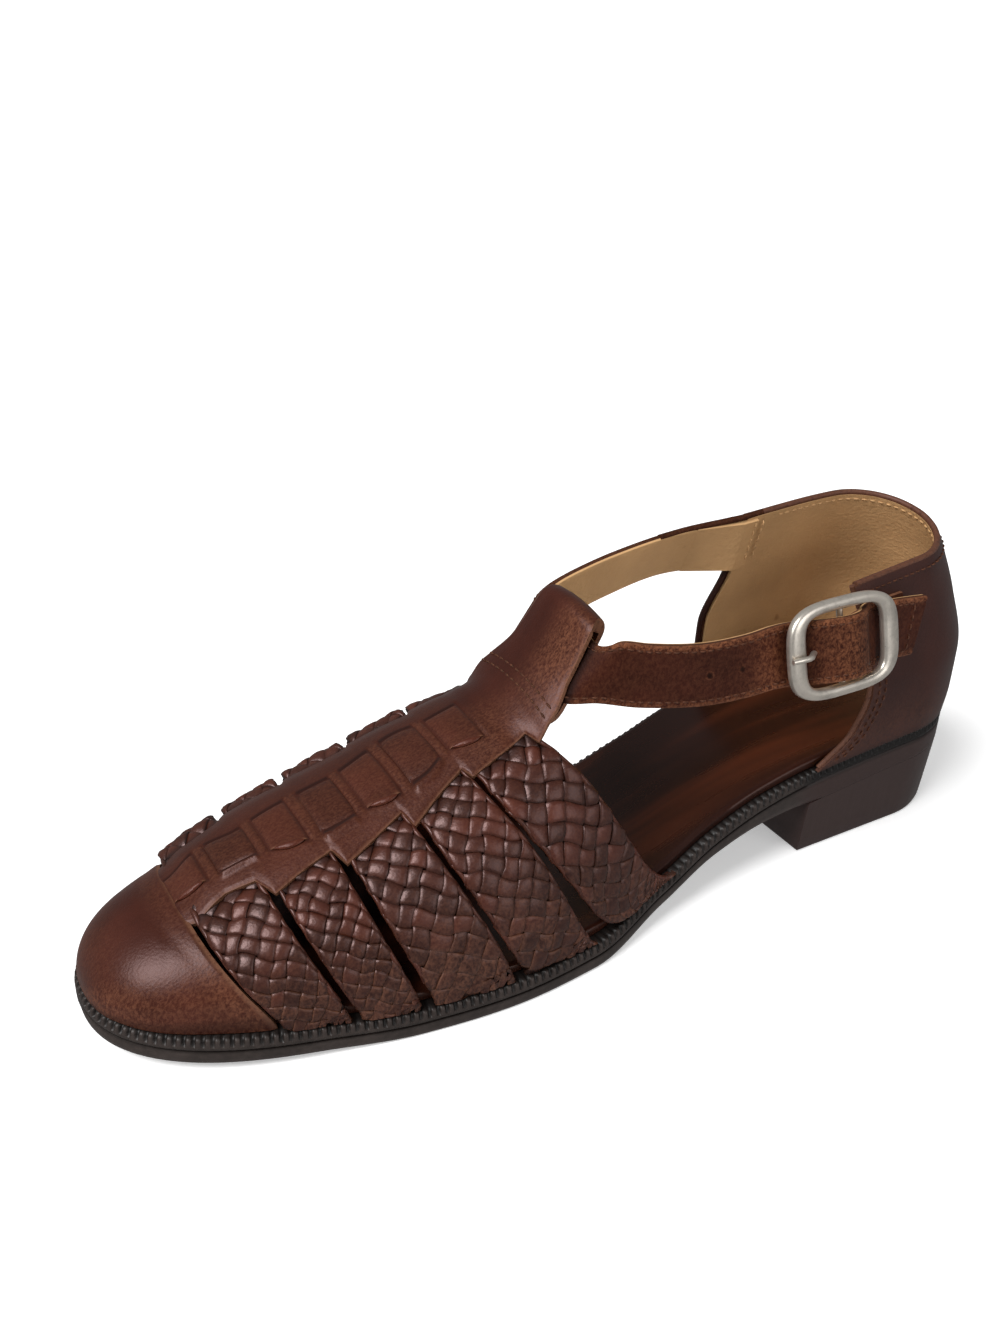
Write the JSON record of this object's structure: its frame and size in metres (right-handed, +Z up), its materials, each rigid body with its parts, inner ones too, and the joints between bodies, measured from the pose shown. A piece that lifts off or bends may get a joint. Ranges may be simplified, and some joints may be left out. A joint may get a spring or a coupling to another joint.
{
  "type": "woven t-strap mary jane sandal",
  "caption": "Left women's mary jane sandal with a closed toe cap, braided leather sides, a T-bar loop, a buckled ankle strap, a closed counter and a low block heel.",
  "frame": {"origin": "on the floor under the middle of the shoe's box", "axes": "+X from heel to toe, +Y to the outer (lateral) side of the left shoe, +Z up"},
  "size_m": [0.2676, 0.081, 0.0885],
  "materials": {
    "upper_leather": "polished chestnut brown, semi-gloss, scuffed",
    "insole_leather": "glossy dark brown",
    "sole_edge": "waxed black-brown edge",
    "heel_stack": "dark brown stacked heel, satin",
    "buckle_metal": "satin nickel, worn"
  },
  "bodies": {
    "root": {"outsole": "sole_edge", "welt": "sole_edge", "heel": "heel_stack", "insole": "insole_leather", "vamp": "upper_leather", "counter": "upper_leather", "ankle_strap": "upper_leather", "chape": "upper_leather", "buckle_frame": "buckle_metal", "buckle_prong": "buckle_metal"}
  },
  "joints": []
}
